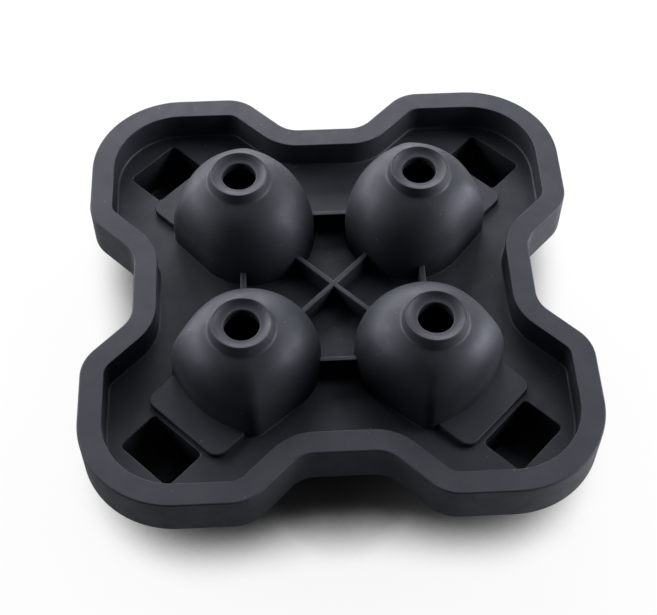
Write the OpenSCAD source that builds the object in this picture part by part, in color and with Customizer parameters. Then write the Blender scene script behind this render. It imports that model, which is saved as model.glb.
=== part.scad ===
// Skull ice mould: a two-piece silicone tray that casts four skulls of ice.
// The upper half holds the backs of the heads, the filler necks and an overflow basin,
// and its four hollow pegs plug into the lower half, which holds the faces.
// The origin is on the table under the middle, +Z up, +X right and +Y away from the front.

/* [Outline] */
// Distance between the axes of neighbouring cavities
cavity_pitch = 47; // [45:0.5:56]
// Clear basin floor between a dome and the inside of the rim, in the lobes
basin_margin = 14.2; // [13.8:0.1:22]
// Outer radius of a lobe's corner
lobe_r = 24; // [16:0.5:26]
// Depth of the notch in each side
waist_depth = 12.4; // [6:0.2:15]
// Width of a notch's straight bottom, measured to its sharp corners
waist_flat = 20.8; // [12:0.2:24]
// Radius where a lobe turns into a notch
lobe_fillet = 10.5; // [8:0.5:12]
// Radius at the bottom corners of a notch
waist_fillet = 8; // [4:0.5:12]

/* [Skull] */
// Radius of the crown, seen from above
crown_r = 13.9; // [12.6:0.1:14.4]
// Distance from the cavity's axis to the middle of the crown
crown_back = 4; // [2.5:0.1:5]
// Radius that the head takes as it turns round towards its top
head_r = 14.7; // [13.6:0.1:15.2]
// Height of the back of the head above the basin floor
head_rise = 18.3; // [15:0.1:18.5]
// Height of the straight side before the back of the head rounds over
head_straight = 3.6; // [1:0.1:5]
// Distance from the cavity's axis to the flattened side above the jaw
cheek_reach = 13; // [12:0.1:13.3]
// Place of the cheek corners along the jaw
cheek_x = 9.3; // [8:0.1:10]
// Place of the cheek corners to each side
cheek_y = 11.8; // [10.4:0.1:12.2]
// Radius of the cheek corners
cheek_corner_r = 0.9; // [0.6:0.1:1.8]
// Distance from the cavity's axis to the end of the jaw
jaw_reach = 18.5; // [17:0.1:20]
// Width of the jaw
jaw_w = 19; // [15:0.5:20]
// Radius of the jaw's corners
jaw_corner_r = 4; // [2:0.5:6]
// Depth of the face below the parting plane
face_depth = 19; // [17:0.5:24]
// Depth of the straight side before the face rounds over
face_straight = 4; // [1:0.25:6]
// Depth of the teeth below the parting plane
teeth_depth = 16.5; // [14:0.5:16.5]
// Radius of the dental arch
arch_r = 13.5; // [12:0.5:16]
// Radius of an eye socket
eye_r = 4.6; // [3.5:0.1:5]
// Distance between the eye sockets
eye_pitch = 11.6; // [10.4:0.2:12.4]
// Depth of an eye socket
eye_depth = 5; // [3:0.25:5.5]
// Place of the eyes, measured from the cavity's axis towards the crown
eye_back = 1.5; // [0:0.1:3]
// Length of the nose opening
nose_l = 5; // [3:0.25:6]
// Width of the nose opening
nose_w = 4.6; // [3:0.2:6]
// Depth of the nose opening
nose_depth = 2.4; // [1:0.2:4]
// Distance between neighbouring teeth
tooth_pitch = 2.9; // [2:0.1:3.2]
// Number of gaps between the teeth
tooth_gaps = 5; // [3:1:5]
// Width of a gap between teeth
tooth_gap_w = 0.7; // [0.4:0.1:1]
// Depth of a gap between teeth
tooth_gap_depth = 1; // [0.6:0.1:1.6]

/* [Upper half] */
// Thickness of the basin floor
web_t = 3.8; // [3:0.1:6]
// Height of the rim above the basin floor
rim_rise = 8.2; // [4:0.2:14]
// Width of the rim
rim_w = 6; // [4:0.1:7]
// Wall of the domes and the cups
wall = 2.6; // [2.4:0.1:2.7]
// Height of a filler neck's top above the basin floor
neck_rise = 23; // [22.4:0.1:28]
// Height of a neck's tapered part
neck_h = 2.6; // [1.6:0.1:4]
// Outer radius at the top of a neck
neck_top_r = 7.5; // [7:0.1:8]
// Outer radius at the foot of a neck
neck_foot_r = 8.4; // [8.1:0.1:9]
// Width of the edge round the dished top of a neck
lip_w = 0.5; // [0.3:0.1:1]
// Depth of the dish in a neck's top
dish_depth = 1; // [0.4:0.1:1.4]
// Radius of the filler hole
fill_r = 4.4; // [3:0.1:5.4]
// Length of the filler hole between the dish and the flare
fill_l = 2.3; // [1.6:0.1:2.8]
// Radius of the flare below the filler hole
flare_r = 6.6; // [5.6:0.1:7]
// Width of the raised pad over a jaw
tab_w = 25.2; // [24.4:0.2:28]
// How far the pad reaches past the end of the jaw
tab_margin = 4.4; // [4.2:0.1:6.4]
// Height of the pad above the basin floor
tab_h = 1.6; // [1:0.1:4]
// Radius of the pad's corners
tab_corner_r = 3; // [1:0.5:5]
// Height of the jaw's hollow above the parting plane
jaw_rise = 2.8; // [1.5:0.1:2.8]
// Thickness of a stiffening rib
rib_t = 1.5; // [1:0.1:3]
// Height of the stiffening ribs
rib_h = 5.6; // [3:0.2:8]

/* [Pegs] */
// Length of a peg's pocket along the diagonal
pocket_l = 11.8; // [9:0.2:13]
// Width of a peg's pocket
pocket_w = 16.6; // [16.6:0.2:19]
// Depth of a peg's pocket below the basin floor
pocket_depth = 12; // [11:0.2:16]
// Radius of the pocket's rounded floor, across its width
pocket_round = 8; // [5:0.1:8]
// Radius of the pocket's upright corners
pocket_corner_r = 1.2; // [0.5:0.1:2.5]
// Land between a pocket and the pad beside it
pocket_gap = 0.95; // [0.9:0.05:3]
// Wall of a peg
peg_wall = 1.6; // [1:0.1:1.6]
// Clearance round a peg in its hole
peg_clearance = 0.3; // [0.2:0.05:0.35]

/* [Lower half] */
// Thickness of the flange
flange_t = 5; // [3:0.25:7]
// How far the flange stays inside the upper half's edge
flange_inset = 4; // [0:0.25:4.5]
// Distance from the cavity to the sealing bead
bead_inset = 0.8; // [0.7:0.05:1]
// Width of the sealing bead
bead_w = 1; // [0.8:0.05:1]
// Height of the sealing bead
bead_h = 0.8; // [0.5:0.05:1.2]
// Clearance between the sealing bead and its groove
bead_clearance = 0.2; // [0.15:0.05:0.3]

/* [Hidden] */
$fn = 96;
CORNERS = ["back_right", "back_left", "front_left", "front_right"];

silicone = "#2b2d33";
cut = 0.01;                                           // overshoot of a cut past the face it opens
parting_z = face_depth + wall;                        // plane where the halves meet
web_z = parting_z + web_t;                            // top of the basin floor
cavity_reach = cavity_pitch / sqrt(2);                // middle of the mould to a cavity's axis
crown_reach = crown_back + crown_r + wall;            // cavity's axis to the outside of the crown
half_w = cavity_pitch / 2 + crown_reach + basin_margin + rim_w;
tab_reach = jaw_reach + tab_margin;                   // cavity's axis to the pad's outer edge
pocket_x = tab_reach + pocket_gap + pocket_l / 2;     // cavity's axis to the middle of a pocket
arch_z = arch_r - teeth_depth;                        // axis of the dental arch
fill_z = neck_rise - dish_depth - fill_l;             // height where the filler hole starts to flare
flare_z = fill_z - (flare_r - fill_r);                // height of the flare's wide end, at 45 degrees
head_curve = [2.4, 3.3];                              // powers of the head's rounding, upright and inwards
face_curve = [4, 3];                                  // powers of the face's rounding
turn_power = 1.6;                                     // how late the outline turns round as it rises
head_end = 78;                                        // where the head's rounding ends under the neck
face_end = 68;                                        // where the face's rounding ends in a flat foot

// Plan shapes

// Points along an arc, from one angle to another
function arc(centre, r, from, to, steps) =
    [for (i = [0:steps]) let (a = from + (to - from) * i / steps) centre + r * [cos(a), sin(a)]];

function turned(p, quarter) =
    let (c = [1, 0, -1, 0][quarter], s = [0, 1, 0, -1][quarter])
    [p[0] * c - p[1] * s, p[0] * s + p[1] * c];

// Clover outline of the mould, drawn inset from the outer edge by the given distance.
// The notches have 45 degree sides, so every rounded corner turns by 45 degrees.
module clover(inset) {
    edge = half_w - inset;
    waist = half_w - waist_depth - inset;
    lobe_c = half_w - lobe_r;
    outer_r = lobe_fillet - inset;
    inner_r = waist_fillet + inset;
    waist_x = waist_flat / 2 + inset * tan(22.5);
    outer_x = waist_x + edge - waist + outer_r * tan(22.5);
    inner_x = waist_x - inner_r * tan(22.5);
    side = concat(
        arc([lobe_c, lobe_c], lobe_r - inset, 0, 90, 16),
        arc([outer_x, edge - outer_r], outer_r, 90, 135, 6),
        arc([inner_x, waist + inner_r], inner_r, -45, -90, 6),
        arc([-inner_x, waist + inner_r], inner_r, -90, -135, 6),
        arc([-outer_x, edge - outer_r], outer_r, 45, 90, 6)
    );
    polygon([for (quarter = [0:3]) for (p = side) turned(p, quarter)]);
}

// Rectangle with rounded corners, centred
module rounded_rectangle(l, w, r) {
    x = l / 2 - r;
    y = w / 2 - r;
    polygon(concat(
        arc([x, y], r, 0, 90, 6),
        arc([-x, y], r, 90, 180, 6),
        arc([-x, -y], r, 180, 270, 6),
        arc([x, -y], r, 270, 360, 6)
    ));
}

// Outline of the back of the head, grown by the given wall, from its front round the crown.
// Two straight sides join the crown to the cheek corners, and a shallow arc closes the front.
function head_outline(grow) =
    let (
        across = [cheek_x + crown_back, cheek_y],
        side = atan2(across[1], across[0]) + acos((crown_r - cheek_corner_r) / norm(across)),
        gap = cheek_reach - cheek_x,
        front_r = (pow(gap, 2) + pow(cheek_y, 2) - pow(cheek_corner_r, 2)) / (2 * (gap - cheek_corner_r)),
        front_x = cheek_reach - front_r,
        front = atan2(cheek_y, cheek_x - front_x),
        left = arc([cheek_x, cheek_y], cheek_corner_r + grow, front, side, 4),
        right = arc([cheek_x, -cheek_y], cheek_corner_r + grow, -side, -front, 4)
    )
    concat(
        arc([front_x, 0], front_r + grow, -front, front, 6),
        [for (i = [1:4]) left[i]],
        arc([-crown_back, 0], crown_r + grow, side, 360 - side, 18),
        [for (i = [0:3]) right[i]]
    );

// Jaw from the cavity's axis outwards, grown by the given wall
module jaw_plan(grow) {
    l = jaw_reach + grow;
    translate([l / 2, 0])
        rounded_rectangle(l, jaw_w + 2 * grow, jaw_corner_r + grow);
}

// Whole outline of the skull, grown by the given wall
module skull_plan(grow) {
    polygon(head_outline(grow));
    jaw_plan(grow);
}

// Raised pad over the jaw
module tab_plan() {
    translate([tab_reach / 2, 0])
        rounded_rectangle(tab_reach, tab_w, tab_corner_r);
}

// What a dome covers on the basin floor
module dome_plan() {
    polygon(head_outline(wall));
    tab_plan();
}

module pocket_plan(grow) {
    translate([pocket_x, 0])
        rounded_rectangle(pocket_l + 2 * grow, pocket_w + 2 * grow, pocket_corner_r + grow);
}

// A pocket's hollow, measured from the basin floor, or the peg that the given wall makes round it.
// Its floor is half round across, and the arc runs out along its tangents past the upright sides.
module pocket_shape(grow) {
    r = pocket_round + grow;
    y = pocket_w / 2 - pocket_round;
    z = pocket_round - pocket_depth;
    lean = 6;
    top = web_t + rim_rise;
    out = r / cos(lean) + (top - z) * tan(lean);
    intersection() {
        translate([0, 0, z - r - 1])
            linear_extrude(top - z + r)
            pocket_plan(grow);
        translate([pocket_x - pocket_l, 0, 0])
            rotate([90, 0, 90])
            linear_extrude(2 * pocket_l)
            polygon(concat(
                arc([-y, z], r, 180 + lean, 270, 10),
                arc([y, z], r, 270, 360 - lean, 10),
                [[y + out, top], [-y - out, top]]
            ));
    }
}

// A line round the cavity, the given width, for the bead and its groove
module bead_plan(slack) {
    difference() {
        skull_plan(bead_inset + bead_w + slack);
        skull_plan(bead_inset - slack);
    }
}

// Moves a cavity's shape from its own axis, jaw towards +X, to one corner of the mould
module at_corner(corner) {
    rotate(45 + 90 * corner) translate([cavity_reach, 0, 0]) children();
}

// Rounded end that stands on the head's outline: straight at first, then over a superellipse
// that turns rounder as it closes, to a flat at the given height
module rounded_end(grow, straight, rise, curve, end) {
    outline = head_outline(grow);
    steps = 8;
    top = pow(sin(end), 2 / curve[0]);
    rings = concat(
        [[for (p = outline) [p[0], p[1], 0]]],
        [for (i = [0:steps])
            let (
                a = end * i / steps,
                up = pow(sin(a), 2 / curve[0]) / top,
                shrink = pow(cos(a), 2 / curve[1]),
                even = pow(up, turn_power)
            )
            [for (p = outline)
                let (r = shrink * ((1 - even) + even * (head_r + grow) / norm(p)))
                [p[0] * r, p[1] * r, straight + (rise - straight) * up]]
        ]
    );
    n = len(outline);
    last = len(rings) - 1;
    polyhedron(
        points = [for (ring = rings) for (p = ring) p],
        faces = concat(
            [[for (i = [0:n - 1]) i]],
            [[for (i = [n - 1:-1:0]) last * n + i]],
            [for (k = [0:last - 1], i = [0:n - 1]) [k * n + i, (k + 1) * n + i, (k + 1) * n + (i + 1) % n]],
            [for (k = [0:last - 1], i = [0:n - 1]) [k * n + i, (k + 1) * n + (i + 1) % n, k * n + (i + 1) % n]]
        )
    );
}

// The back of the head above the basin floor
module head(grow) {
    rounded_end(grow, head_straight, head_rise + grow, head_curve, head_end);
}

// The upper half

module upper_rim() {
    color(silicone)
        translate([0, 0, parting_z])
        linear_extrude(web_t + rim_rise)
        difference() {
            clover(0);
            clover(rim_w);
        }
}

module basin_floor() {
    color(silicone)
        difference() {
            translate([0, 0, parting_z])
                linear_extrude(web_t)
                difference() {
                    clover(rim_w);
                    for (corner = [0:3])
                        at_corner(corner) dome_plan();
                }
            for (corner = [0:3])
                translate([0, 0, web_z]) at_corner(corner) pocket_shape(0);
        }
}

// A cross between the four domes and a short link between each pair of neighbours
module stiffening_ribs() {
    color(silicone)
        translate([0, 0, web_z])
        difference() {
            union() {
                for (turn = [45, 135])
                    rotate(turn)
                    translate([-cavity_reach, -rib_t / 2, 0])
                    cube([2 * cavity_reach, rib_t, rib_h]);
                for (quarter = [0:3])
                    rotate(90 * quarter)
                    translate([-cavity_pitch / 2, cavity_pitch / 2 - rib_t / 2, 0])
                    cube([cavity_pitch, rib_t, rib_h]);
            }
            for (corner = [0:3])
                at_corner(corner) head(wall);
        }
}

// Hollow under a dome: the back of the head, the jaw, the flare and the filler hole
module dome_hollow() {
    translate([0, 0, -cut]) linear_extrude(web_t + 2 * cut) polygon(head_outline(0));
    translate([0, 0, -cut]) linear_extrude(jaw_rise + cut) jaw_plan(0);
    translate([0, 0, -cut]) linear_extrude(bead_h + bead_clearance + cut) bead_plan(bead_clearance);
    translate([0, 0, web_t]) {
        head(0);
        cylinder(h = flare_z, r = flare_r);
        translate([0, 0, flare_z])
            cylinder(h = fill_z - flare_z, r1 = flare_r, r2 = fill_r);
        cylinder(h = neck_rise + cut, r = fill_r);
        translate([0, 0, neck_rise - dish_depth])
            cylinder(h = dish_depth + cut, r1 = fill_r, r2 = neck_top_r - lip_w);
    }
}

module dome(corner) {
    color(silicone)
        translate([0, 0, parting_z])
        at_corner(corner)
        difference() {
            union() {
                linear_extrude(web_t) dome_plan();
                linear_extrude(web_t + tab_h) tab_plan();
                translate([0, 0, web_t]) head(wall);
                translate([0, 0, web_t + head_straight])
                    cylinder(h = neck_rise - neck_h - head_straight, r = neck_foot_r);
                translate([0, 0, web_t + neck_rise - neck_h])
                    cylinder(h = neck_h, r1 = neck_foot_r, r2 = neck_top_r);
            }
            dome_hollow();
        }
}

// Hollow plug under the basin floor, open at the top as the pocket in the corner
module peg(corner) {
    color(silicone)
        translate([0, 0, web_z])
        at_corner(corner)
        difference() {
            pocket_shape(peg_wall);
            pocket_shape(0);
            translate([pocket_x - pocket_l, -pocket_w, -web_t])
                cube([2 * pocket_l, 2 * pocket_w, 2 * web_t + rim_rise]);
        }
}

// The lower half

module lower_flange() {
    color(silicone)
        translate([0, 0, parting_z - flange_t])
        linear_extrude(flange_t)
        difference() {
            clover(flange_inset);
            for (corner = [0:3])
                at_corner(corner) {
                    skull_plan(wall);
                    pocket_plan(peg_wall + peg_clearance);
                }
        }
}

// Round part of the face below the parting plane
module forehead(grow) {
    mirror([0, 0, 1])
        rounded_end(grow, face_straight, face_depth + grow, face_curve, face_end);
}

// Round bar that gives the teeth their arch
module arch_bar(r) {
    translate([0, 0, arch_z])
        rotate([0, 90, 0])
        cylinder(h = jaw_reach + wall, r = r);
}

// Jaw below the parting plane
module muzzle(grow) {
    depth = arch_r + grow - arch_z;
    intersection() {
        translate([0, 0, -depth]) linear_extrude(depth) jaw_plan(grow);
        union() {
            arch_bar(arch_r + grow);
            translate([0, 0, arch_z]) linear_extrude(depth) jaw_plan(grow);
        }
    }
}

// What stands up inside a cup: eye sockets, nose opening and the gaps between the teeth
module face_relief() {
    for (side = [-1, 1])
        translate([-eye_back, side * eye_pitch / 2, eye_depth - face_depth - eye_r]) {
            sphere(eye_r);
            translate([0, 0, -eye_r]) cylinder(h = eye_r, r = eye_r);
        }
    translate([eye_r - eye_back, 0, -face_depth - cut])
        linear_extrude(nose_depth + cut)
        polygon([[-nose_l / 2, 0], [nose_l / 2, -nose_w / 2], [nose_l / 2, nose_w / 2]]);
    intersection() {
        difference() {
            arch_bar(arch_r + wall / 2);
            arch_bar(arch_r - tooth_gap_depth);
        }
        for (gap = [0:tooth_gaps - 1])
            translate([jaw_reach / 2, (gap - (tooth_gaps - 1) / 2) * tooth_pitch, -face_depth])
                translate([0, -tooth_gap_w / 2, 0])
                cube([jaw_reach, tooth_gap_w, face_depth]);
    }
}

module face_cup(corner) {
    color(silicone)
        translate([0, 0, parting_z])
        at_corner(corner)
        difference() {
            union() {
                forehead(wall);
                muzzle(wall);
                linear_extrude(bead_h) bead_plan(0);
            }
            difference() {
                union() {
                    forehead(0);
                    muzzle(0);
                }
                face_relief();
            }
        }
}

upper_rim();
basin_floor();
stiffening_ribs();
for (i = [0:3]) dome(i);
for (i = [0:3]) peg(i);
lower_flange();
for (i = [0:3]) face_cup(i);
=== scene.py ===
"""Dresses the skull ice mould: two silicone mouldings with rounded edges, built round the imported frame."""

from math import acos, atan2, cos, degrees, radians, sin, sqrt, tan

import bmesh
import bpy
from bpy.props import FloatProperty, FloatVectorProperty, PointerProperty
from bpy.types import Operator, Panel, PropertyGroup
from mathutils import Matrix, Vector


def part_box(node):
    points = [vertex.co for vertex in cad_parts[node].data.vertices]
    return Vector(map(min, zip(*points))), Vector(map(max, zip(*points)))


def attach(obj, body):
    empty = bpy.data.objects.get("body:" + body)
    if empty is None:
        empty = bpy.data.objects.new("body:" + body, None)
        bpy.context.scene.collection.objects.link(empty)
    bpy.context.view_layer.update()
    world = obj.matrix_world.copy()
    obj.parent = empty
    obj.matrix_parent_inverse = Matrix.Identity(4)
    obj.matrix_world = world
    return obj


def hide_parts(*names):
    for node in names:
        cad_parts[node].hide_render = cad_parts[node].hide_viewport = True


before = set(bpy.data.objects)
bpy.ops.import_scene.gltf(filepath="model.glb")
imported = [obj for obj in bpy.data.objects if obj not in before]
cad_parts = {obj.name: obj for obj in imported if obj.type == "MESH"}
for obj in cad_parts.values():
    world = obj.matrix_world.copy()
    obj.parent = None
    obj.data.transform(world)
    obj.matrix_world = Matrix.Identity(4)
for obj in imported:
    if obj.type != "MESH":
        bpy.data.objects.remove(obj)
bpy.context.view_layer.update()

bl_info = {
    "name": "Skull ice mould",
    "version": (1, 0, 0),
    "blender": (4, 5, 0),
    "location": "View3D > Sidebar > Ice mould",
    "description": "Builds the two silicone halves of a skull ice mould and a plain stage for it",
    "category": "Mesh",
}

CORNERS = {"back_right": 45, "back_left": 135, "front_left": 225, "front_right": 315}

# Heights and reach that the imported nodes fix.
PARTING_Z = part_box("lower_flange")[1].z
FLANGE_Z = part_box("lower_flange")[0].z
WEB_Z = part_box("basin_floor")[1].z
RIM_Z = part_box("upper_rim")[1].z
RIB_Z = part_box("stiffening_ribs")[1].z
NECK_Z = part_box("dome_back_right")[1].z
HALF_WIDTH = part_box("upper_rim")[1].x


def length(name, description, default):
    return FloatProperty(name=name, description=description, default=default, unit="LENGTH", precision=5)


def share(name, description, default):
    return FloatProperty(
        name=name, description=description, default=default, subtype="FACTOR", min=0.0, max=1.0,
    )


def colour(name, description, default):
    return FloatVectorProperty(
        name=name, description=description, default=default, subtype="COLOR", min=0.0, max=1.0,
    )


def watts(name, description, default):
    return FloatProperty(name=name, description=description, default=default, unit="POWER")


class MouldSizes(PropertyGroup):
    """Sizes of the two halves."""

    pitch: length("Cavity pitch", "Distance between the axes of neighbouring cavities", 0.047)
    lobe_radius: length("Lobe radius", "Outer radius of a lobe's corner", 0.024)
    waist_depth: length("Notch depth", "Depth of the notch in each side", 0.0124)
    waist_flat: length("Notch width", "Width of a notch's straight bottom", 0.0208)
    lobe_fillet: length("Lobe fillet", "Radius where a lobe turns into a notch", 0.0105)
    waist_fillet: length("Notch fillet", "Radius at the bottom corners of a notch", 0.008)
    rim_width: length("Rim width", "Width of the rim", 0.006)
    rim_outer_round: length("Rim outer edge", "Rounding of the rim's outer top edge", 0.00045)
    rim_low_round: length("Rim lower edge", "Rounding of the rim's outer bottom edge", 0.0003)
    rim_inner_round: length("Rim inner edge", "Rounding of the rim's inner top edge", 0.0002)
    basin_fillet: length("Basin fillet", "Fillet between the rim and the basin floor", 0.0006)
    crown_radius: length("Crown radius", "Radius of the crown, seen from above", 0.0139)
    crown_back: length("Crown offset", "Distance from the cavity's axis to the middle of the crown", 0.004)
    cheek_x: length("Cheek place", "Place of the cheek corners along the jaw", 0.0093)
    cheek_y: length("Cheek spread", "Place of the cheek corners to each side", 0.0118)
    cheek_radius: length("Cheek radius", "Radius of the cheek corners", 0.0009)
    cheek_reach: length("Cheek reach", "Distance from the axis to the flattened side above the jaw", 0.013)
    head_radius: length("Head radius", "Radius that the head takes as it turns round", 0.0147)
    head_rise: length("Head height", "Height of the back of the head above the basin floor", 0.0183)
    head_straight: length("Straight side", "Height of the straight side before the head rounds over", 0.0036)
    dome_fillet: length("Dome fillet", "Fillet between a dome and the basin floor", 0.00035)
    wall: length("Wall", "Wall of the domes and the cups", 0.0026)
    neck_top_radius: length("Neck top radius", "Outer radius at the top of a neck", 0.0075)
    neck_foot_radius: length("Neck foot radius", "Outer radius at the foot of a neck", 0.0084)
    neck_height: length("Neck height", "Height of a neck's tapered part", 0.0026)
    neck_round: length("Neck edge", "Rounding of a neck's top edge", 0.00022)
    fill_radius: length("Filler radius", "Radius of the filler hole", 0.0044)
    fill_length: length("Filler length", "Length of the filler hole before it flares", 0.0023)
    mouth_round: length("Filler mouth", "Rounding of the filler hole's mouth", 0.00035)
    lip: length("Neck lip", "Width of the edge round the dished top of a neck", 0.0004)
    dish_depth: length("Dish depth", "Depth of the dish in a neck's top", 0.001)
    flare_radius: length("Flare radius", "Radius of the flare below the filler hole", 0.0058)
    jaw_reach: length("Jaw reach", "Distance from the axis to the end of the jaw", 0.0185)
    jaw_width: length("Jaw width", "Width of the jaw", 0.019)
    jaw_corner: length("Jaw corner", "Radius of the jaw's corners", 0.004)
    jaw_rise: length("Jaw height", "Height of the jaw's hollow above the parting plane", 0.0028)
    pad_width: length("Pad width", "Width of the raised pad over a jaw", 0.0252)
    pad_reach: length("Pad reach", "Distance from the axis to the pad's outer edge", 0.0229)
    pad_height: length("Pad height", "Height of the pad above the basin floor", 0.0016)
    pad_corner: length("Pad corner", "Radius of the pad's corners", 0.003)
    pad_round: length("Pad edge", "Rounding of the pad's top edge", 0.0004)
    rib_thickness: length("Rib thickness", "Thickness of a stiffening rib", 0.0015)
    rib_round: length("Rib edge", "Rounding of a rib's top edges", 0.0003)
    pocket_x: length("Pocket place", "Distance from the cavity's axis to the middle of a pocket", 0.02975)
    pocket_length: length("Pocket length", "Length of a pocket along the diagonal", 0.0118)
    pocket_width: length("Pocket width", "Width of a pocket", 0.0166)
    pocket_depth: length("Pocket depth", "Depth of a pocket below the basin floor", 0.012)
    pocket_corner: length("Pocket corner", "Radius of the pocket's corners", 0.0012)
    pocket_round: length("Pocket floor", "Radius of the pocket's rounded floor, across its width", 0.008)
    pocket_edge: length("Pocket edge", "Rounding of a pocket's mouth", 0.00025)
    peg_wall: length("Peg wall", "Wall of a peg", 0.0016)
    peg_clearance: length("Peg clearance", "Clearance round a peg in its hole", 0.0003)
    flange_inset: length("Flange inset", "How far the flange stays inside the upper half's edge", 0.004)
    bead_inset: length("Bead place", "Distance from the cavity to the sealing bead", 0.0008)
    bead_width: length("Bead width", "Width of the sealing bead", 0.001)
    bead_height: length("Bead height", "Height of the sealing bead", 0.0008)
    bead_clearance: length("Bead clearance", "Clearance between the bead and its groove", 0.0002)
    face_depth: length("Face depth", "Depth of the face below the parting plane", 0.019)
    face_straight: length("Face side", "Depth of the straight side before the face rounds over", 0.004)
    teeth_depth: length("Teeth depth", "Depth of the teeth below the parting plane", 0.0165)
    arch_radius: length("Dental arch", "Radius of the dental arch", 0.0135)
    eye_radius: length("Eye radius", "Radius of an eye socket", 0.0046)
    eye_pitch: length("Eye pitch", "Distance between the eye sockets", 0.0116)
    eye_depth: length("Eye depth", "Depth of an eye socket", 0.005)
    eye_back: length("Eye place", "Place of the eyes, from the axis towards the crown", 0.0015)
    nose_length: length("Nose length", "Length of the nose opening", 0.005)
    nose_width: length("Nose width", "Width of the nose opening", 0.0046)
    nose_depth: length("Nose depth", "Depth of the nose opening", 0.0024)
    tooth_pitch: length("Tooth pitch", "Distance between neighbouring teeth", 0.0029)
    tooth_gap: length("Tooth gap", "Width of a gap between teeth", 0.0007)
    tooth_gap_depth: length("Tooth gap depth", "Depth of a gap between teeth", 0.001)
    relief_round: length("Relief edge", "Rounding of the nose's edges", 0.0005)
    relief_sink: length("Relief sink", "How far the eyes and the nose are sunk into the face", 0.0006)


class SiliconeLook(PropertyGroup):
    """Finish of the silicone."""

    body: colour("Silicone", "Colour of the silicone", (0.0115, 0.0145, 0.0195))
    pale: colour("Pale silicone", "Colour where the surface is rubbed or bloomed", (0.034, 0.036, 0.042))
    dust: colour("Dust", "Colour of dust specks", (0.36, 0.37, 0.39))
    sheen: colour("Sheen", "Tint of what the surface mirrors", (0.79, 0.80, 0.96))
    roughness: share("Roughness", "Roughness of the moulded surface", 0.57)
    refraction: FloatProperty(name="Refraction", description="Index of refraction", default=1.56, min=1.0)


class StageLook(PropertyGroup):
    """Light and background."""

    background: colour("Background", "Colour of the floor and the backdrop", (1.0, 1.0, 1.0))
    bounce: share("Bounce", "Share of the light that the floor throws back at the object", 0.45)
    # Painted light: the floor's right side is painted lighter in what it throws back, standing in for more
    # light falling on that side.
    right_painted_bounce: share("Right bounce", "Share that the floor throws back on its right side", 0.95)
    right: watts("Right light", "Power of the softbox on the right", 6.8)
    left: watts("Left light", "Power of the softbox on the left", 2.8)
    back: watts("Back lights", "Power of each low softbox behind", 4.7)
    high: watts("High light", "Power of the raised softbox behind; the highest has a quarter of it", 1.3)


# Narrow flat rings beside the roundings, in metres, which keep the shading of the wide lands flat.
RIM_LAND, FLOOR_LAND, SEAL_LAND, HOLE_LAND = 0.0004, 0.0003, 0.0002, 0.0001

# Small roundings and breaks of edges, in metres.
NECK_ROOT = 0.0005       # fillet at the foot of a neck
FILL_BREAK = 0.0002      # edge between the filler hole and its flare
CAVITY_BREAK = 0.0003    # edge of a cavity on the parting plane
GROOVE_BREAK = 0.0002    # the same edge in the upper half, across
FLANGE_ROUND = 0.0008    # edges of the flange
HOLE_ROUND = 0.0004      # mouth of a peg's hole
ROOT_FILLET = 0.00015    # where pegs, cups and holes meet a flat face
BEAD_ROUND, BEAD_LEAN = 0.0003, 0.0001
TOOTH_ROUND = 0.0002     # top edges of the ridges between the teeth
TROUGH_FILLET = 0.001    # round the foot of a pocket and of a peg
SUNK = 0.0005            # how far pads and ribs reach into what they stand on

# Plan outlines. Each gives the same number of points whatever it is grown by, so that rings can be stacked.


def arc(centre, radius, start, end, steps):
    """Plan points along an arc, from one angle to another in degrees."""
    angles = [radians(start + (end - start) * i / steps) for i in range(steps + 1)]
    return [Vector((centre[0] + radius * cos(a), centre[1] + radius * sin(a))) for a in angles]


def between(start, end, steps):
    """Plan points on a line, without its ends."""
    return [start.lerp(end, i / steps) for i in range(1, steps)]


def clover(s, inset):
    """Outline of the mould, drawn inset from its outer edge."""
    edge = HALF_WIDTH - inset
    waist = edge - s.waist_depth
    lobe = HALF_WIDTH - s.lobe_radius
    outer = s.lobe_fillet - inset
    inner = s.waist_fillet + inset
    lean = tan(radians(22.5))
    waist_x = s.waist_flat / 2 + inset * lean
    outer_x = waist_x + s.waist_depth + outer * lean
    inner_x = waist_x - inner * lean
    side = (
        arc((lobe, lobe), s.lobe_radius - inset, 0, 90, 24)
        + arc((outer_x, edge - outer), outer, 90, 135, 8)
        + arc((inner_x, waist + inner), inner, -45, -90, 8)
        + arc((-inner_x, waist + inner), inner, -90, -135, 8)
        + arc((-outer_x, edge - outer), outer, 45, 90, 8)
    )
    return [Matrix.Rotation(radians(90 * quarter), 2) @ p for quarter in range(4) for p in side]


LEAST_CORNER, CORNER_MARGIN = 0.0002, 0.0001


def rounded_rectangle(size_x, size_y, radius, middle_x=0.0):
    """Outline of a rectangle with rounded corners, set out along X."""
    radius = max(radius, LEAST_CORNER)
    x, y = size_x / 2 - radius, size_y / 2 - radius
    corners = ((x, y), (-x, y), (-x, -y), (x, -y))
    return [
        p for i, c in enumerate(corners)
        for p in arc((middle_x + c[0], c[1]), radius, 90 * i, 90 * i + 90, 6)
    ]


CHEEK_STEPS, FRONT_STEPS, SIDE_STEPS, CROWN_STEPS = 8, 40, 8, 60
FRONT_POINTS = 2 * CHEEK_STEPS + FRONT_STEPS + 1


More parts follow.
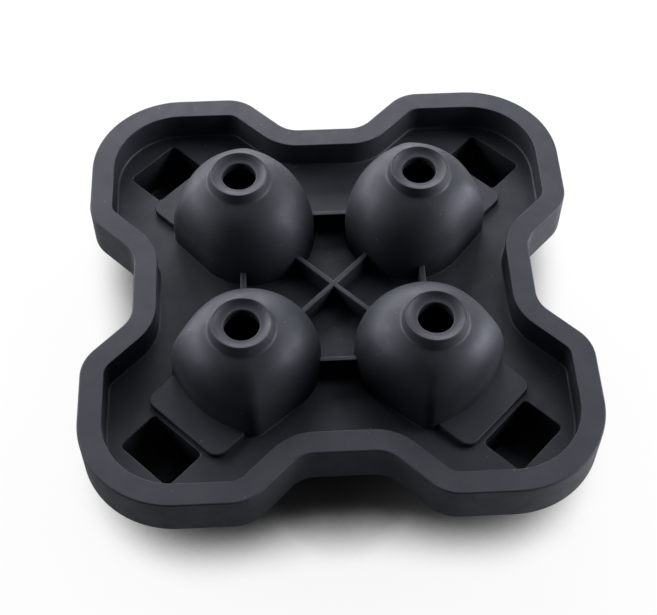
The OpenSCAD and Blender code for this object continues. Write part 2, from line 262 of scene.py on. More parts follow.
def head_outline(s, grow):
    """Outline of the back of the head: the cheeks and the front first, then round the crown."""
    across = Vector((s.cheek_x + s.crown_back, s.cheek_y))
    side = degrees(atan2(across.y, across.x) + acos((s.crown_radius - s.cheek_radius) / across.length))
    gap = s.cheek_reach - s.cheek_x
    front_radius = (gap**2 + s.cheek_y**2 - s.cheek_radius**2) / (2 * (gap - s.cheek_radius))
    front_x = s.cheek_reach - front_radius
    front = degrees(atan2(s.cheek_y, s.cheek_x - front_x))
    right = arc((s.cheek_x, -s.cheek_y), s.cheek_radius + grow, -side, -front, CHEEK_STEPS)
    middle = arc((front_x, 0), front_radius + grow, -front, front, FRONT_STEPS)
    left = arc((s.cheek_x, s.cheek_y), s.cheek_radius + grow, front, side, CHEEK_STEPS)
    crown = arc((-s.crown_back, 0), s.crown_radius + grow, side, 360 - side, CROWN_STEPS)
    return (
        right[:-1] + middle + left[1:]
        + between(left[-1], crown[0], SIDE_STEPS) + crown + between(crown[-1], right[0], SIDE_STEPS)
    )


def along(path, place):
    """Point at a share of a path's length."""
    lengths = [(b - a).length for a, b in zip(path, path[1:])]
    left = place * sum(lengths)
    for a, b, d in zip(path, path[1:], lengths):
        if left <= d:
            return a.lerp(b, left / d if d else 0.0)
        left -= d
    return path[-1].copy()


def tongue(reach, half, corner, start_x):
    """Path round a tongue with rounded corners, from its right root to its left one."""
    return (
        [Vector((start_x, -half))]
        + arc((reach - corner, -half + corner), corner, -90, 0, 8)
        + arc((reach - corner, half - corner), corner, 0, 90, 8)
        + [Vector((start_x, half))]
    )


def skull_outline(s, grow):
    """Outline of the head with the jaw standing out of its front."""
    points = head_outline(s, grow)
    half = s.jaw_width / 2 + grow
    inside = [i for i in range(FRONT_POINTS) if abs(points[i].y) < half]
    root = points[inside[0] - 1].x
    path = tongue(s.jaw_reach + grow, half, s.jaw_corner + grow, root)
    for n, i in enumerate(inside):
        points[i] = along(path, (n + 1) / (len(inside) + 1))
    return points


# Rings: lists of points in space, one for each point of an outline.


def level(points, z):
    """A flat ring at a height."""
    return [Vector((p.x, p.y, z)) for p in points]


def circle_level(points, radius, z):
    """A round ring about the cavity's axis, in the directions of an outline's points."""
    return [Vector((p.x, p.y, 0)).normalized() * radius + Vector((0, 0, z)) for p in points]


def profile(start, centre, radius, end, steps=5):
    """Points (out, up) along a rounding, from one angle to another in degrees."""
    return [(p.x, p.y) for p in arc(centre, radius, start, end, steps)]


def curve_rings(first, control, last, steps):
    """Rings along a quadratic curve from one ring to another, without the first."""
    rings = []
    for i in range(1, steps + 1):
        t = i / steps
        rings.append([a.lerp(b, t).lerp(b.lerp(c, t), t) for a, b, c in zip(first, control, last)])
    return rings


# The head's section is a superellipse with one power up and one across, cut off at an angle in degrees.
HEAD_CURVE, HEAD_END, HOLLOW_END, TURN_POWER = (2.4, 3.3), 78, 66, 1.6


def head_angle(s, grow, radius):
    """How far round the head has turned where it has closed to a radius."""
    return degrees(acos((radius / (s.head_radius + grow)) ** (HEAD_CURVE[1] / 2)))


def head_height(s, grow, angle):
    """Height of the head, and its share of the rounded part, where it has turned by an angle."""
    up = (sin(radians(angle)) / sin(radians(HEAD_END))) ** (2 / HEAD_CURVE[0])
    return WEB_Z + s.head_straight + (s.head_rise + grow - s.head_straight) * up, up


def head_rings(s, grow, end, steps=30):
    """Rings over the back of the head, from its straight side to where its rounding is cut off."""
    outline = head_outline(s, grow)
    rings = []
    for i in range(steps + 1):
        z, up = head_height(s, grow, end * i / steps)
        shrink = cos(radians(end * i / steps)) ** (2 / HEAD_CURVE[1])
        even = up**TURN_POWER
        rings.append([
            (p * shrink * (1 - even + even * (s.head_radius + grow) / p.length)).to_3d() + Vector((0, 0, z))
            for p in outline
        ])
    return rings


def smooth_step(low, high, x):
    """Eased share of the way from low to high."""
    t = min(max((x - low) / (high - low), 0.0), 1.0)
    return t * t * (3 - 2 * t)


# The face's section: where it is cut off, in degrees, and its powers up, across and across the muzzle.
FACE_END, FACE_UP, FACE_ACROSS, MUZZLE_ACROSS = 68, 0.5, 2 / 3, 2 / 8
# Where, along the jaw in metres, the face gives way to the teeth, stops turning round and turns square.
TEETH_FROM, ROUND_UNTIL, SQUARE_FROM = (0.007, 0.012), (0.008, 0.014), (0.008, 0.015)


def face_rings(s, grow, steps=18, floor_steps=12):
    """Rings down over the face: forehead, cheeks and muzzle, then in over the face's flat front."""
    outline = skull_outline(s, grow)
    top = sin(radians(FACE_END)) ** FACE_UP
    arch_drop = s.teeth_depth - s.arch_radius

    def depth(x, y):
        arch = arch_drop + sqrt(max((s.arch_radius + grow) ** 2 - y * y, 0.0))
        w = smooth_step(*TEETH_FROM, x)
        return (s.face_depth + grow) * (1 - w) + arch * w

    def at(p, shrink, up):
        x, y = p.x * shrink, p.y * shrink
        return Vector((x, y, PARTING_Z - s.face_straight - (depth(x, y) - s.face_straight) * up))

    rings = []
    for i in range(steps + 1):
        a = radians(FACE_END * i / steps)
        up = sin(a) ** FACE_UP / top
        ring = []
        for p in outline:
            round_share = up**TURN_POWER * (1 - smooth_step(*ROUND_UNTIL, p.x))
            even = 1 - round_share + round_share * (s.head_radius + grow) / p.length
            square = smooth_step(*SQUARE_FROM, p.x)
            shrink = even * (cos(a) ** FACE_ACROSS * (1 - square) + cos(a) ** MUZZLE_ACROSS * square)
            ring.append(at(p, shrink, up))
        rings.append(ring)
    last = rings[-1]
    for i in range(1, floor_steps):
        t = 1 - i / floor_steps
        rings.append([at(p, t, 1.0) for p in last])
    return rings


def pocket_level(s, grow, z):
    """A ring round a pocket at a height."""
    size_x, size_y = s.pocket_length + 2 * grow, s.pocket_width + 2 * grow
    return level(rounded_rectangle(size_x, size_y, s.pocket_corner + grow, s.pocket_x), z)


TROUGH_END = 88          # degrees round the trough, short of its lowest line


def trough_rings(s, grow, fillet, steps=24):
    """Rings of a pocket's half-round floor, or of the peg round it, from the upright sides down."""
    radius = s.pocket_round + grow
    axis = WEB_Z - s.pocket_depth + s.pocket_round
    rings = []
    for i in range(steps + 1):
        a = radians(TROUGH_END * i / steps)
        half = s.pocket_width / 2 - s.pocket_round + radius * cos(a)
        low = max(fillet - radius * (1 - sin(a)), 0.0)
        inset = fillet - sqrt(fillet**2 - low**2)
        corner = min(s.pocket_corner + grow, half - CORNER_MARGIN)
        outline = rounded_rectangle(s.pocket_length + 2 * (grow - inset), 2 * half, corner, s.pocket_x)
        rings.append(level(outline, axis - radius * sin(a)))
    return rings


# Mesh making.

SAME_PLACE, SAME_HEIGHT = 1e-7, 1e-6
SHARP_ANGLE = radians(50)


def first_ring(bm, points):
    """A ring of edges through the given points."""
    verts = bmesh.ops.create_circle(bm, cap_ends=False, segments=len(points), radius=1.0)["verts"]
    for v, p in zip(verts, points):
        v.co = p
    return verts


def ring_edges(bm, ring):
    return [bm.edges.get((a, b)) for a, b in zip(ring, ring[1:] + ring[:1])]


def next_ring(bm, ring, points):
    """Extrudes a ring to the given points."""
    made = bmesh.ops.extrude_edge_only(bm, edges=ring_edges(bm, ring))["geom"]
    fresh = {g for g in made if isinstance(g, bmesh.types.BMVert)}
    risen = []
    for v, p in zip(ring, points):
        w = next(e.other_vert(v) for e in v.link_edges if e.other_vert(v) in fresh)
        w.co = p
        risen.append(w)
    return risen


def stack(bm, rings, closed=False):
    """Extrudes one ring through all the others, and closes the last where asked."""
    ring = first_ring(bm, rings[0])
    for points in rings[1:]:
        ring = next_ring(bm, ring, points)
    if closed:
        bmesh.ops.edgeloop_fill(bm, edges=ring_edges(bm, ring))


def to_corners(bm, s):
    """Moves one cavity's mesh from its own axis to the back right corner, and copies it to the others."""
    turn = Matrix.Rotation(radians(45), 4, "Z") @ Matrix.Translation((s.pitch / sqrt(2), 0, 0))
    bmesh.ops.transform(bm, matrix=turn, verts=bm.verts[:])
    bmesh.ops.spin(
        bm, geom=bm.verts[:] + bm.edges[:] + bm.faces[:], cent=(0, 0, 0), axis=(0, 0, 1), dvec=(0, 0, 0),
        angle=radians(270), steps=3, use_duplicate=True,
    )


def fill_flat(bm, z):
    """Fills the flat land between the open rings at a height."""
    edges = [e for e in bm.edges if e.is_boundary and all(abs(v.co.z - z) < SAME_HEIGHT for v in e.verts)]
    made = bmesh.ops.triangle_fill(bm, use_beauty=True, use_dissolve=False, edges=edges)["geom"]
    if not any(isinstance(g, bmesh.types.BMFace) for g in made):
        raise RuntimeError("the flat land between the rings wasn't filled")


def round_edges(bm, edges, offset, segments):
    bmesh.ops.bevel(
        bm, geom=list(edges), offset=offset, affect="EDGES", segments=segments, profile=0.5, material=-1,
        clamp_overlap=True,
    )


def raise_faces(bm, faces, height):
    """Extrudes faces straight up, and gives the raised points."""
    made = bmesh.ops.extrude_face_region(bm, geom=faces)["geom"]
    risen = {g for g in made if isinstance(g, bmesh.types.BMVert)}
    bmesh.ops.translate(bm, verts=list(risen), vec=(0, 0, height))
    return risen


def slabs(bm, outlines, top, rounding, segments):
    """Slabs that stand on the basin floor, a little sunk into it, with rounded top edges."""
    for outline in outlines:
        verts = bmesh.ops.create_circle(bm, cap_ends=True, segments=len(outline), radius=1.0)["verts"]
        for v, p in zip(verts, outline):
            v.co = (p.x, p.y, WEB_Z - SUNK)
    risen = raise_faces(bm, bm.faces[:], top - WEB_Z + SUNK)
    round_edges(bm, [e for e in bm.edges if all(v in risen for v in e.verts)], rounding, segments)


def finish_piece(name, bm, body, material, *nodes):
    """Closes a mesh into an object that rides on its body in place of CAD nodes."""
    bmesh.ops.remove_doubles(bm, verts=bm.verts[:], dist=SAME_PLACE)
    bmesh.ops.recalc_face_normals(bm, faces=bm.faces[:])
    open_edges = sum(not e.is_manifold for e in bm.edges)
    if open_edges:
        raise RuntimeError(f"{name} has {open_edges} open edges")
    for f in bm.faces:
        f.smooth = True
    for e in bm.edges:
        if e.calc_face_angle(0.0) > SHARP_ANGLE:
            e.smooth = False
    mesh = bpy.data.meshes.new(name)
    bm.to_mesh(mesh)
    bm.free()
    mesh.materials.append(material)
    piece = bpy.data.objects.new(name, mesh)
    bpy.context.scene.collection.objects.link(piece)
    normals = piece.modifiers.new("flat_lands", "WEIGHTED_NORMAL")
    normals.keep_sharp = True
    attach(piece, body)
    if nodes:
        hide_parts(*nodes)
    return piece


# Finishes.


def silicone_material(look):
    """Matte moulded silicone: faint mottling, a pale bloom where it is rubbed, and a few specks of dust."""
    made = bpy.data.materials.get("moulded_silicone")
    if made:
        return made
    made = bpy.data.materials.new("moulded_silicone")
    made.use_nodes = True
    nodes, links = made.node_tree.nodes, made.node_tree.links
    shader = nodes["Principled BSDF"]
    shader.inputs["IOR"].default_value = look.refraction
    shader.inputs["Specular Tint"].default_value = (*look.sheen, 1.0)
    place = nodes.new("ShaderNodeTexCoord")

    def noise(scale, detail, roughness):
        n = nodes.new("ShaderNodeTexNoise")
        n.inputs["Scale"].default_value = scale
        n.inputs["Detail"].default_value = detail
        n.inputs["Roughness"].default_value = roughness
        links.new(place.outputs["Object"], n.inputs["Vector"])
        return n.outputs["Fac"]

    def ramp(source, low, high, out_low=0.0, out_high=1.0):
        n = nodes.new("ShaderNodeMapRange")
        n.interpolation_type = "SMOOTHSTEP"
        n.inputs["From Min"].default_value = low
        n.inputs["From Max"].default_value = high
        n.inputs["To Min"].default_value = out_low
        n.inputs["To Max"].default_value = out_high
        links.new(source, n.inputs["Value"])
        return n.outputs["Result"]

    def mixed(amount, a, b):
        n = nodes.new("ShaderNodeMix")
        n.data_type = "RGBA"
        links.new(amount, n.inputs["Factor"])
        for socket, value in ((n.inputs["A"], a), (n.inputs["B"], b)):
            if hasattr(value, "is_linked"):
                links.new(value, socket)
            else:
                socket.default_value = (*value, 1.0)
        return n.outputs["Result"]

    def times(a, b):
        n = nodes.new("ShaderNodeMath")
        n.operation = "MULTIPLY"
        links.new(a, n.inputs[0])
        if hasattr(b, "is_linked"):
            links.new(b, n.inputs[1])
        else:
            n.inputs[1].default_value = b
        return n.outputs["Value"]

    # Mottling over the whole piece, and a bloom in a few places.
    mottling = ramp(noise(90, 4, 0.6), 0.30, 0.75, 0.0, 0.45)
    bloom = times(ramp(noise(55, 3, 0.5), 0.60, 0.74), ramp(noise(900, 5, 0.7), 0.40, 0.70))
    base = mixed(mottling, look.body, look.pale)
    base = mixed(times(bloom, 0.6), base, look.pale)

    # Dust: a dot in the middle of some cells, each with its own strength.
    cells = nodes.new("ShaderNodeTexVoronoi")
    cells.inputs["Scale"].default_value = 420
    links.new(place.outputs["Object"], cells.inputs["Vector"])
    speck = ramp(cells.outputs["Distance"], 0.030, 0.062, 1.0, 0.0)
    lot = nodes.new("ShaderNodeSeparateColor")
    links.new(cells.outputs["Color"], lot.inputs["Color"])
    chosen = ramp(lot.outputs["Red"], 0.40, 0.42)
    speck = times(times(speck, chosen), ramp(lot.outputs["Green"], 0.0, 1.0, 0.1, 0.9))
    base = mixed(speck, base, look.dust)
    links.new(base, shader.inputs["Base Color"])

    # Uneven gloss and a fine grain.
    gloss = ramp(noise(260, 3, 0.6), 0.3, 0.7, look.roughness - 0.04, look.roughness + 0.05)
    links.new(gloss, shader.inputs["Roughness"])
    bump = nodes.new("ShaderNodeBump")
    bump.inputs["Strength"].default_value = 0.25
    bump.inputs["Distance"].default_value = 0.00006
    links.new(noise(2600, 3, 0.6), bump.inputs["Height"])
    links.new(bump.outputs["Normal"], shader.inputs["Normal"])
    return made


# Operators, one for each piece or group of like pieces.


class MOULD_OT_upper_half(Operator):
    """Builds the upper half: rim, basin, four domes with filler necks and four hollow pegs in one moulding"""

    bl_idname = "mould.upper_half"
    bl_label = "Upper half"

    def rim(self, s):
        """Rings from under the outer edge, over the rim and down to the basin floor."""
        low, outer, inner, foot = s.rim_low_round, s.rim_outer_round, s.rim_inner_round, s.basin_fillet
        section = (
            [(2 * low, PARTING_Z)]
            + profile(270, (low, PARTING_Z + low), low, 180)
            + profile(180, (outer, RIM_Z - outer), outer, 90)
            + profile(90, (s.rim_width - inner, RIM_Z - inner), inner, 0)
            + profile(180, (s.rim_width + foot, WEB_Z + foot), foot, 270)
            + [(s.rim_width + foot + RIM_LAND, WEB_Z)]
        )
        return [level(clover(s, inset), z) for inset, z in section]

    def dome(self, s):
        """Rings from the basin floor over a dome and its neck, then through the filler hole to the hollow."""
        outline = head_outline(s, s.wall)
        fillet = s.dome_fillet
        rings = [level(head_outline(s, s.wall + fillet + FLOOR_LAND), WEB_Z)]
        rings += [
            level(head_outline(s, s.wall + out), up)
            for out, up in profile(270, (fillet, WEB_Z + fillet), fillet, 180)
        ]
        foot = s.neck_foot_radius
        rings += head_rings(s, s.wall, head_angle(s, s.wall, foot + NECK_ROOT))
        foot_z = head_height(s, s.wall, head_angle(s, s.wall, foot))[0]
        taper = (foot - s.neck_top_radius) / s.neck_height
        rings += curve_rings(
            rings[-1], circle_level(outline, foot, foot_z),
            circle_level(
                outline, s.neck_top_radius + (NECK_Z - foot_z - NECK_ROOT) * taper, foot_z + NECK_ROOT,
            ), 6,
        )
        edge, dish = s.neck_round, s.neck_top_radius - s.lip
        mouth = s.fill_radius + s.mouth_round
        bowl_steps = 10
        bowl = [1 - i / bowl_steps for i in range(bowl_steps)]
        end = NECK_Z - s.dish_depth - s.fill_length
        section = profile(0, (s.neck_top_radius - edge, NECK_Z - edge), edge, 90)
        section += [(mouth + (dish - mouth) * t, NECK_Z - s.dish_depth * (1 - t * t)) for t in bowl]
        section += profile(80, (mouth, NECK_Z - s.dish_depth - s.mouth_round), s.mouth_round, 180)
        section += profile(180, (s.fill_radius + FILL_BREAK, end), FILL_BREAK, 225, 3)
        section += [(s.flare_radius, end - s.flare_radius + s.fill_radius)]
        rings += [circle_level(outline, out, up) for out, up in section]
        rings += reversed(head_rings(s, 0.0, HOLLOW_END))
        ceiling = PARTING_Z + s.jaw_rise
        rings.append(level(head_outline(s, 0.0), ceiling))
        rings.append(level(skull_outline(s, 0.0), ceiling))
        groove_in = s.bead_inset - s.bead_clearance
        groove_out = s.bead_inset + s.bead_width + s.bead_clearance
        groove_z = PARTING_Z + s.bead_height + s.bead_clearance
        for out, up in (
            (0.0, PARTING_Z + CAVITY_BREAK), (GROOVE_BREAK, PARTING_Z), (groove_in, PARTING_Z),
            (groove_in, groove_z), (groove_out, groove_z), (groove_out, PARTING_Z),
            (groove_out + SEAL_LAND, PARTING_Z),
        ):
            rings.append(level(skull_outline(s, out), up))
        return rings

    def pocket(self, s):
        """Rings from the basin floor down into a pocket."""
        edge = s.pocket_edge
        mouth = [(edge + FLOOR_LAND, WEB_Z)] + profile(90, (edge, WEB_Z - edge), edge, 180)
        return [pocket_level(s, g, z) for g, z in mouth] + trough_rings(s, 0.0, TROUGH_FILLET)

    def peg(self, s):
        """Rings from the underside down over a peg."""
        out = s.peg_wall + ROOT_FILLET
        foot = [(out + SEAL_LAND, PARTING_Z)]
        foot += profile(90, (out, PARTING_Z - ROOT_FILLET), ROOT_FILLET, 180)
        return [pocket_level(s, g, z) for g, z in foot] + trough_rings(s, s.peg_wall, TROUGH_FILLET)

    def execute(self, context):
        s = context.scene.mould_sizes
        bm = bmesh.new()
        stack(bm, self.dome(s))
        stack(bm, self.pocket(s), closed=True)
        stack(bm, self.peg(s), closed=True)
        to_corners(bm, s)
        stack(bm, self.rim(s))
        fill_flat(bm, WEB_Z)
        fill_flat(bm, PARTING_Z)
        finish_piece(
            "upper_half_moulding", bm, "upper_half", silicone_material(context.scene.mould_silicone),
            "upper_rim", "basin_floor",
            *[f"dome_{c}" for c in CORNERS], *[f"peg_{c}" for c in CORNERS],
        )
        return {"FINISHED"}


class MOULD_OT_jaw_pads(Operator):
    """Builds the raised pad over each jaw"""

    bl_idname = "mould.jaw_pads"
    bl_label = "Jaw pads"

    def execute(self, context):
        s = context.scene.mould_sizes
        silicone = silicone_material(context.scene.mould_silicone)
        half = s.pad_width / 2
        back = [p for p in head_outline(s, s.wall / 2)[:FRONT_POINTS] if abs(p.y) < half]
        outline = tongue(s.pad_reach, half, s.pad_corner, back[0].x) + back[::-1]
        for corner, angle in CORNERS.items():
            bm = bmesh.new()
            turn = Matrix.Rotation(radians(angle), 4, "Z") @ Matrix.Translation((s.pitch / sqrt(2), 0, 0))
            slabs(bm, [[turn @ p.to_3d() for p in outline]], WEB_Z + s.pad_height, s.pad_round, 5)
            finish_piece(f"jaw_pad_{corner}", bm, "upper_half", silicone)
        return {"FINISHED"}


class MOULD_OT_ribs(Operator):
    """Builds the cross between the domes and the short links between neighbours"""

    bl_idname = "mould.ribs"
    bl_label = "Stiffening ribs"

    def execute(self, context):
        s = context.scene.mould_sizes
        bm = bmesh.new()
        half = s.rib_thickness / 2
        crown = s.pitch / sqrt(2) - s.crown_back - s.crown_radius - s.wall / 2
        arm = [Vector((half, half)), Vector((crown, half)), Vector((crown, -half))]
        outlines = [[Matrix.Rotation(radians(45 - 90 * i), 2) @ p for i in range(4) for p in arm]]
        # A link ends inside the domes' walls, 135 degrees round from a jaw.
        reach = min(
            p.length for p in head_outline(s, s.wall / 2) if abs(degrees(atan2(p.y, p.x)) - 135) < 3
        )
        end, near, far = s.pitch / 2 - reach, s.pitch / 2 - half, s.pitch / 2 + half
        link = [Vector(c) for c in ((-end, near), (end, near), (end, far), (-end, far))]
        outlines += [[Matrix.Rotation(radians(90 * i), 2) @ p for p in link] for i in range(4)]
        slabs(bm, outlines, RIB_Z, s.rib_round, 3)
        finish_piece(
            "stiffening_rib_cross", bm, "upper_half", silicone_material(context.scene.mould_silicone),
            "stiffening_ribs",
        )
        return {"FINISHED"}


class MOULD_OT_lower_half(Operator):
    """Builds the lower half: flange with peg holes, sealing beads and four cups that hold the faces"""

    bl_idname = "mould.lower_half"
    bl_label = "Lower half"

    def flange(self, s):
        """Rings from the top land round the flange's edge to its underside."""
        edge = s.flange_inset + FLANGE_ROUND
        section = (
            [(edge + FLOOR_LAND, PARTING_Z)]
            + profile(90, (edge, PARTING_Z - FLANGE_ROUND), FLANGE_ROUND, 180)
            + profile(180, (edge, FLANGE_Z + FLANGE_ROUND), FLANGE_ROUND, 270)
            + [(edge + FLOOR_LAND, FLANGE_Z)]
        )
        return [level(clover(s, inset), z) for inset, z in section]

    def cavity(self, s):
        """Rings from the top land over the sealing bead and down into a face."""
        near, far = s.bead_inset, s.bead_inset + s.bead_width
        top = PARTING_Z + s.bead_height
        rings = [
            level(skull_outline(s, out), up) for out, up in (
                (far + SEAL_LAND, PARTING_Z), (far, PARTING_Z),
                (far - BEAD_LEAN, top - BEAD_ROUND), (far - BEAD_ROUND, top),
                (near + BEAD_ROUND, top), (near + BEAD_LEAN, top - BEAD_ROUND),
                (near, PARTING_Z), (CAVITY_BREAK, PARTING_Z), (0.0, PARTING_Z - CAVITY_BREAK),
            )
        ]
        return rings + face_rings(s, 0.0)

    def cup(self, s):
        """Rings from the flange's underside down over a cup to its foot."""
        root = [
            level(skull_outline(s, s.wall + ROOT_FILLET), FLANGE_Z),
            level(skull_outline(s, s.wall), FLANGE_Z - ROOT_FILLET),
        ]
        lowest_root = FLANGE_Z - 2 * ROOT_FILLET
        return root + [ring for ring in face_rings(s, s.wall) if max(p.z for p in ring) < lowest_root]

    def peg_hole(self, s):
        """Rings from the top land down through a peg's hole."""
        gap = s.peg_wall + s.peg_clearance
        section = [(gap + HOLE_ROUND + HOLE_LAND, PARTING_Z)]
        section += profile(90, (gap + HOLE_ROUND, PARTING_Z - HOLE_ROUND), HOLE_ROUND, 180)
        section += [(gap, FLANGE_Z + ROOT_FILLET), (gap + ROOT_FILLET, FLANGE_Z)]
        return [pocket_level(s, g, z) for g, z in section]

    def execute(self, context):
        s = context.scene.mould_sizes
        bm = bmesh.new()
        stack(bm, self.cavity(s), closed=True)
        stack(bm, self.cup(s), closed=True)
        stack(bm, self.peg_hole(s))
        to_corners(bm, s)
        stack(bm, self.flange(s))
        fill_flat(bm, PARTING_Z)
        fill_flat(bm, FLANGE_Z)
        finish_piece(
            "lower_half_moulding", bm, "lower_half", silicone_material(context.scene.mould_silicone),
            "lower_flange", *[f"face_cup_{c}" for c in CORNERS],
        )
        return {"FINISHED"}


class MOULD_OT_faces(Operator):
    """Builds what stands up in each face: two eyes, a nose and the lines between the teeth"""

    bl_idname = "mould.faces"
    bl_label = "Face relief"

    def eyes(self, bm, s):
        """Two balls, cut off a little below the face."""
        floor = PARTING_Z - s.face_depth
        middle_z = floor + s.eye_depth - s.eye_radius
        for side in (-1, 1):
            place = Matrix.Translation((-s.eye_back, side * s.eye_pitch / 2, middle_z))
            bmesh.ops.create_uvsphere(bm, u_segments=40, v_segments=24, radius=s.eye_radius, matrix=place)
        cut = bmesh.ops.bisect_plane(
            bm, geom=bm.verts[:] + bm.edges[:] + bm.faces[:],
            plane_co=(0, 0, floor - s.relief_sink), plane_no=(0, 0, -1), clear_outer=True,
        )["geom_cut"]
        bmesh.ops.edgeloop_fill(bm, edges=[g for g in cut if isinstance(g, bmesh.types.BMEdge)])

    def nose(self, bm, s):
        """A three-cornered block with its root between the eyes."""
        low = PARTING_Z - s.face_depth - s.relief_sink
        middle = s.eye_radius - s.eye_back
        root, tip = middle - s.nose_length / 2, middle + s.nose_length / 2
        corners = ((root, 0), (tip, s.nose_width / 2), (tip, -s.nose_width / 2))
        made = bmesh.ops.create_circle(bm, cap_ends=True, segments=3, radius=1.0)["verts"]
        for v, (x, y) in zip(made, corners):
            v.co = (x, y, low)
        foot = list({f for v in made for f in v.link_faces})
        risen = raise_faces(bm, foot, s.nose_depth + s.relief_sink)
        round_edges(bm, {e for v in risen for e in v.link_edges}, s.relief_round, 4)

    def teeth(self, bm, s):
        """Thin ridges across the dental arch, each at the arch's depth."""
        inset, foot = 0.002, 0.0008
        start, end = s.cheek_reach - inset, s.jaw_reach - inset
        drop = s.teeth_depth - s.arch_radius
        for i in range(-2, 3):
            y = i * s.tooth_pitch
            floor = PARTING_Z - drop - sqrt(s.arch_radius**2 - y * y)
            low, high = floor - foot, floor + s.tooth_gap_depth
            place = Matrix.Translation(((start + end) / 2, y, (low + high) / 2))
            size = Matrix.Diagonal((end - start, s.tooth_gap, high - low, 1.0))
            made = bmesh.ops.create_cube(bm, size=1.0, matrix=place @ size)["verts"]
            edges = {e for v in made for e in v.link_edges if all(w.co.z > floor for w in e.verts)}
            round_edges(bm, edges, TOOTH_ROUND, 3)

    def execute(self, context):
        s = context.scene.mould_sizes
        bm = bmesh.new()
        self.eyes(bm, s)
        self.nose(bm, s)
        self.teeth(bm, s)
        to_corners(bm, s)
        finish_piece("face_relief", bm, "lower_half", silicone_material(context.scene.mould_silicone))
        return {"FINISHED"}


# Stage sizes, in metres.
FLOOR_HALF, FLOOR_DROP = 3.0, 0.0003
# Painted light on the floor's right side: across this span the bounce colour grows from the left share to the
# right one.
PAINTED_BOUNCE_SPAN = (0.02, 0.08)           # where, from left to right, the floor's bounce grows
SHADOW_REACH, SHADOW_SPAN, SHADOW_SHARE = 0.035, (0.40, 0.74), 0.9
LIGHT_MIDDLE, LIGHT_AWAY, LIGHT_SIDE = Vector((0, 0, 0.03)), 0.75, 0.45
ROOM_LIGHT = 0.01                    # what the white room adds to the object

# The camera, fitted to the photo.
CAMERA_LENS, CAMERA_SENSOR = 76.06, 36.0
CAMERA_PLACE, CAMERA_TURN = (-0.0129, -0.21344, WEB_Z + 0.29753), (35.2033, -0.1866, -2.8546)


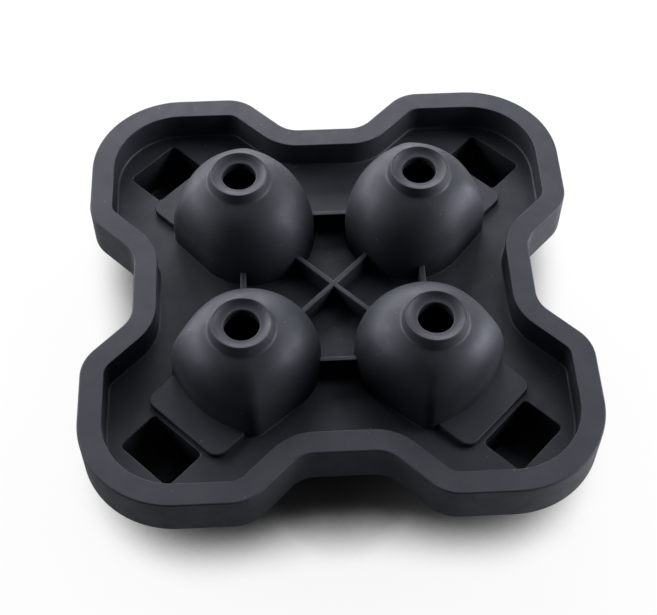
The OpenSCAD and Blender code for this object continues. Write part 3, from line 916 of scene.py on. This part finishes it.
class MOULD_OT_stage(Operator):
    """Builds the floor, the soft lights and the camera"""

    bl_idname = "mould.stage"
    bl_label = "Stage"

    def floor(self, look):
        """A plain floor: where it is seen, white with a contact shadow painted from an occlusion node; in
        what it throws back, darker, with painted light on its right side.
        """
        bm = bmesh.new()
        bmesh.ops.create_grid(bm, x_segments=1, y_segments=1, size=FLOOR_HALF)
        bmesh.ops.translate(bm, verts=bm.verts[:], vec=(0, 0, -FLOOR_DROP))
        mesh = bpy.data.meshes.new("studio_floor")
        bm.to_mesh(mesh)
        bm.free()
        floor = bpy.data.objects.new("studio_floor", mesh)
        bpy.context.scene.collection.objects.link(floor)
        paint = bpy.data.materials.new("floor_paint")
        paint.use_nodes = True
        nodes, links = paint.node_tree.nodes, paint.node_tree.links
        nodes.clear()
        out = nodes.new("ShaderNodeOutputMaterial")
        seen = nodes.new("ShaderNodeLightPath")
        tone = nodes.new("ShaderNodeMix")
        tone.data_type = "RGBA"
        place = nodes.new("ShaderNodeTexCoord")
        axes = nodes.new("ShaderNodeSeparateXYZ")
        # Painted light: the floor's bounce colour grows lighter towards the right, standing in for more light
        # on the mould's right side.
        side = nodes.new("ShaderNodeMapRange")
        side.inputs["From Min"].default_value, side.inputs["From Max"].default_value = PAINTED_BOUNCE_SPAN
        side.inputs["To Min"].default_value = look.bounce
        side.inputs["To Max"].default_value = look.right_painted_bounce
        links.new(place.outputs["Object"], axes.inputs["Vector"])
        links.new(axes.outputs["X"], side.inputs["Value"])
        links.new(side.outputs["Result"], tone.inputs["A"])
        tone.inputs["B"].default_value = (*look.background, 1)
        matte = nodes.new("ShaderNodeBsdfDiffuse")
        white = nodes.new("ShaderNodeEmission")
        white.inputs["Color"].default_value = (*look.background, 1)
        near = nodes.new("ShaderNodeAmbientOcclusion")
        near.samples = 48
        near.inputs["Distance"].default_value = SHADOW_REACH
        clear = nodes.new("ShaderNodeMapRange")
        clear.interpolation_type = "SMOOTHSTEP"
        clear.inputs["From Min"].default_value, clear.inputs["From Max"].default_value = SHADOW_SPAN
        part = nodes.new("ShaderNodeMath")
        part.operation = "MULTIPLY"
        part.inputs[1].default_value = SHADOW_SHARE
        mix = nodes.new("ShaderNodeMixShader")
        links.new(seen.outputs["Is Camera Ray"], tone.inputs["Factor"])
        links.new(tone.outputs["Result"], matte.inputs["Color"])
        links.new(near.outputs["AO"], clear.inputs["Value"])
        links.new(clear.outputs["Result"], white.inputs["Strength"])
        links.new(seen.outputs["Is Camera Ray"], part.inputs[0])
        links.new(part.outputs["Value"], mix.inputs["Fac"])
        links.new(matte.outputs["BSDF"], mix.inputs[1])
        links.new(white.outputs["Emission"], mix.inputs[2])
        links.new(mix.outputs["Shader"], out.inputs["Surface"])
        mesh.materials.append(paint)

    def softbox(self, name, around, up, power):
        """A square softbox at a bearing and a height in degrees, turned to the middle of the mould."""
        level_share = cos(radians(up))
        away = Vector((
            level_share * cos(radians(around)), level_share * sin(radians(around)), sin(radians(up)),
        ))
        lamp = bpy.data.lights.new(name, "AREA")
        lamp.shape = "SQUARE"
        lamp.size, lamp.energy = LIGHT_SIDE, power
        box = bpy.data.objects.new(name, lamp)
        box.location = LIGHT_MIDDLE + LIGHT_AWAY * away
        box.rotation_mode = "QUATERNION"
        box.rotation_quaternion = (-away).to_track_quat("-Z", "Y")
        bpy.context.scene.collection.objects.link(box)

    def execute(self, context):
        scene, look = context.scene, context.scene.mould_stage
        self.floor(look)
        self.softbox("right_softbox", 3, 17, look.right)
        self.softbox("left_softbox", 172, 20, look.left)
        self.softbox("back_right_softbox", 40, 42, look.high)
        self.softbox("high_softbox", 90, 58, look.high / 4)
        self.softbox("back_softbox", 90, 20, look.back)
        self.softbox("back_left_softbox", 135, 20, look.back)

        world = bpy.data.worlds.new("studio")
        scene.world = world
        world.use_nodes = True
        nodes, links = world.node_tree.nodes, world.node_tree.links
        room = nodes["Background"]
        room.inputs["Color"].default_value = (1, 1, 1, 1)
        seen = nodes.new("ShaderNodeLightPath")
        strength = nodes.new("ShaderNodeMapRange")
        strength.inputs["To Min"].default_value = ROOM_LIGHT
        strength.inputs["To Max"].default_value = 1.0
        links.new(seen.outputs["Is Camera Ray"], strength.inputs["Value"])
        links.new(strength.outputs["Result"], room.inputs["Strength"])

        lens = bpy.data.cameras.new("photo_camera")
        lens.sensor_width = CAMERA_SENSOR
        lens.lens = CAMERA_LENS
        lens.clip_start, lens.clip_end = 0.01, 20.0
        camera = bpy.data.objects.new("photo_camera", lens)
        camera.location = CAMERA_PLACE
        camera.rotation_euler = [radians(a) for a in CAMERA_TURN]
        scene.collection.objects.link(camera)
        scene.camera = camera
        scene.view_settings.view_transform = "Standard"
        return {"FINISHED"}


class MOULD_PT_panel(Panel):
    """Lists the steps that build the mould"""

    bl_idname = "MOULD_PT_panel"
    bl_label = "Ice mould"
    bl_space_type = "VIEW_3D"
    bl_region_type = "UI"
    bl_category = "Ice mould"

    def draw(self, context):
        for step in STEPS:
            self.layout.operator(step.bl_idname)


STEPS = (
    MOULD_OT_upper_half, MOULD_OT_jaw_pads, MOULD_OT_ribs,
    MOULD_OT_lower_half, MOULD_OT_faces, MOULD_OT_stage,
)
GROUPS = {"mould_sizes": MouldSizes, "mould_silicone": SiliconeLook, "mould_stage": StageLook}


def register():
    for group in GROUPS.values():
        bpy.utils.register_class(group)
    for step in STEPS:
        bpy.utils.register_class(step)
    bpy.utils.register_class(MOULD_PT_panel)
    for name, group in GROUPS.items():
        setattr(bpy.types.Scene, name, PointerProperty(type=group))


def unregister():
    for name in GROUPS:
        delattr(bpy.types.Scene, name)
    bpy.utils.unregister_class(MOULD_PT_panel)
    for step in reversed(STEPS):
        bpy.utils.unregister_class(step)
    for group in reversed(GROUPS.values()):
        bpy.utils.unregister_class(group)


def main():
    register()
    bpy.ops.mould.upper_half()
    bpy.ops.mould.jaw_pads()
    bpy.ops.mould.ribs()
    bpy.ops.mould.lower_half()
    bpy.ops.mould.faces()
    bpy.ops.mould.stage()


if __name__ == "__main__":
    main()
